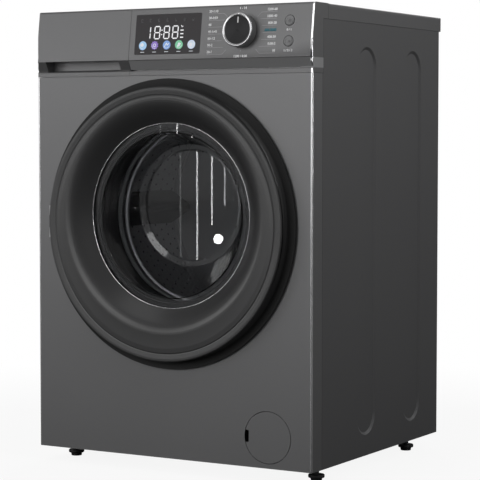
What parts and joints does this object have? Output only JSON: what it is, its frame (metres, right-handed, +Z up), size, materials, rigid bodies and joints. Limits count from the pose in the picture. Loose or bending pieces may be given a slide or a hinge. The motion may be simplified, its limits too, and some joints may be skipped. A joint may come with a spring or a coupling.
{
  "type": "front load washing machine",
  "caption": "Free-standing front load washing machine with round door, detergent drawer, control panel, drum on springs and belt drive.",
  "frame": {"origin": "on the floor under the middle of the whole machine", "axes": "+Z up, front towards -Y, +X to the right as seen from the front"},
  "size_m": [0.595, 0.578, 0.858],
  "materials": {
    "grey_paint": "satin metallic grey",
    "dark_paint": "satin dark grey",
    "grey_plastic": "satin metallic grey",
    "cover_laminate": "satin dark grey",
    "ring_plastic": "satin dark grey",
    "black_plastic": "matte",
    "smoked_glass": "clear, dark",
    "display": "gloss black",
    "galvanised": "galvanised",
    "stainless": "polished stainless",
    "cast_aluminium": "cast",
    "rotor_steel": "machined",
    "concrete": "cast concrete",
    "white_plastic": "matte",
    "lifter_plastic": "matte",
    "board": "satin",
    "gasket_rubber": "matte"
  },
  "bodies": {
    "cabinet": {"cabinet_shell": "dark_paint", "rear_cover": "dark_paint", "base_pan": "galvanised", "front_panel": "grey_paint", "top_cover": "cover_laminate", "control_fascia": "grey_plastic", "display_window": "display", "control_board": "board", "top_braces": "galvanised", "dispenser_housing": "white_plastic", "inlet_valve": "white_plastic", "fill_hose": "gasket_rubber", "drain_pump": "black_plastic", "drain_hose": "gasket_rubber", "door_lock": "white_plastic", "cord_gland": "black_plastic", "transit_plugs": "black_plastic", "case_screws": "galvanised", "hinge_bracket": "dark_paint", "door_gasket": "gasket_rubber", "suspension_springs": "galvanised", "sump_hose": "gasket_rubber", "dispenser_hose": "gasket_rubber"},
    "foot_fl": {"foot_front_left": "black_plastic"},
    "foot_fr": {"foot_front_right": "black_plastic"},
    "foot_rl": {"foot_rear_left": "black_plastic"},
    "foot_rr": {"foot_rear_right": "black_plastic"},
    "tub": {"tub_front": "white_plastic", "tub_rear": "white_plastic", "upper_counterweight": "concrete", "lower_counterweight": "concrete", "heater": "galvanised", "shaft_bearings": "stainless", "shaft_seal": "gasket_rubber", "motor_housing": "cast_aluminium", "drive_belt": "gasket_rubber"},
    "drum": {"drum_shell": "stainless", "drum_back": "stainless", "drum_lifters": "lifter_plastic", "drum_spider": "cast_aluminium", "drum_shaft": "stainless", "drum_pulley": "cast_aluminium"},
    "rotor": {"motor_rotor": "rotor_steel"},
    "damper_left": {"damper_cylinder_left": "galvanised"},
    "damper_right": {"damper_cylinder_right": "galvanised"},
    "rod_left": {"damper_rod_left": "galvanised"},
    "rod_right": {"damper_rod_right": "galvanised"},
    "door": {"door_ring": "ring_plastic", "door_frame": "black_plastic", "door_glass": "smoked_glass", "door_hinge_arm": "galvanised", "door_hook": "galvanised"},
    "drawer": {"drawer_tray": "white_plastic", "drawer_front": "grey_plastic"},
    "knob": {"program_knob": "black_plastic"},
    "power": {"power_button": "grey_plastic"},
    "start": {"start_button": "grey_plastic"},
    "filter_cover": {"filter_cover": "grey_plastic"},
    "filter": {"pump_filter": "black_plastic"},
    "impeller": {"pump_impeller": "white_plastic"}
  },
  "joints": [
    {"name": "door_swing", "type": "hinge", "parent": "cabinet", "child": "door", "pos_m": [-0.2585, -0.2705, 0.4616], "axis": [0, 0, -1], "range_deg": [0, 120]},
    {"name": "drawer_slide", "type": "slide", "parent": "cabinet", "child": "drawer", "axis": [0, -1, 0], "range_m": [0, 0.2]},
    {"name": "knob_turn", "type": "hinge", "parent": "cabinet", "child": "knob", "pos_m": [0.1524, -0.25751, 0.81], "axis": [0, -0.991, 0.134], "continuous": true},
    {"name": "power_press", "type": "slide", "parent": "cabinet", "child": "power", "axis": [0, 0.991, -0.134], "range_m": [0, 0.0015], "stiffness_N_per_m": 500, "springref_m": -0.0005},
    {"name": "start_press", "type": "slide", "parent": "cabinet", "child": "start", "axis": [0, 0.991, -0.134], "range_m": [0, 0.0015], "stiffness_N_per_m": 500, "springref_m": -0.0005},
    {"name": "filter_cover_pull", "type": "slide", "parent": "cabinet", "child": "filter_cover", "axis": [0, -1, 0], "range_m": [0, 0.02]},
    {"name": "filter_turn", "type": "hinge", "parent": "cabinet", "child": "filter", "pos_m": [0.2068, -0.225, 0.084], "axis": [0, -1, 0], "range_deg": [0, 90]},
    {"name": "impeller_spin", "type": "hinge", "parent": "cabinet", "child": "impeller", "pos_m": [0.2068, -0.109, 0.084], "axis": [0, 1, 0], "continuous": true},
    {"name": "tub_bounce", "type": "slide", "parent": "cabinet", "child": "tub", "axis": [0, 0, 1], "range_m": [-0.008, 0.008], "stiffness_N_per_m": 12000, "springref_m": 0.01823, "deforming": ["suspension_springs", "sump_hose", "dispenser_hose", "door_gasket"]},
    {"name": "drum_spin", "type": "hinge", "parent": "tub", "child": "drum", "pos_m": [0, -0.009, 0.4769], "axis": [0, 1, 0], "continuous": true},
    {"name": "motor_spin", "type": "hinge", "parent": "tub", "child": "rotor", "pos_m": [0.03, 0.191, 0.128], "axis": [0, 1, 0], "continuous": true},
    {"name": "damper_tilt_left", "type": "hinge", "parent": "cabinet", "child": "damper_left", "pos_m": [-0.19, 0.041, 0.062], "axis": [0, 1, 0], "range_deg": [-1.2, 1.2]},
    {"name": "damper_rod_left", "type": "slide", "parent": "damper_left", "child": "rod_left", "axis": [0.308, 0, 0.9514], "range_m": [-0.008, 0.008]},
    {"name": "damper_tilt_right", "type": "hinge", "parent": "cabinet", "child": "damper_right", "pos_m": [0.19, 0.041, 0.062], "axis": [0, 1, 0], "range_deg": [-1.2, 1.2]},
    {"name": "damper_rod_right", "type": "slide", "parent": "damper_right", "child": "rod_right", "axis": [-0.308, 0, 0.9514], "range_m": [-0.008, 0.008]},
    {"name": "foot_screw_fl", "type": "slide", "parent": "cabinet", "child": "foot_fl", "axis": [0, 0, -1], "range_m": [0, 0.015]},
    {"name": "foot_screw_fr", "type": "slide", "parent": "cabinet", "child": "foot_fr", "axis": [0, 0, -1], "range_m": [0, 0.015]},
    {"name": "foot_screw_rl", "type": "slide", "parent": "cabinet", "child": "foot_rl", "axis": [0, 0, -1], "range_m": [0, 0.015]},
    {"name": "foot_screw_rr", "type": "slide", "parent": "cabinet", "child": "foot_rr", "axis": [0, 0, -1], "range_m": [0, 0.015]}
  ],
  "couplings": [
    {"joint": "motor_spin", "follows": "drum_spin", "ratio": 13.905},
    {"joint": "damper_tilt_left", "follows": "tub_bounce", "rad_per_m": -1.7246},
    {"joint": "damper_rod_left", "follows": "tub_bounce", "ratio": 0.9514},
    {"joint": "damper_tilt_right", "follows": "tub_bounce", "rad_per_m": 1.7246},
    {"joint": "damper_rod_right", "follows": "tub_bounce", "ratio": 0.9514}
  ]
}
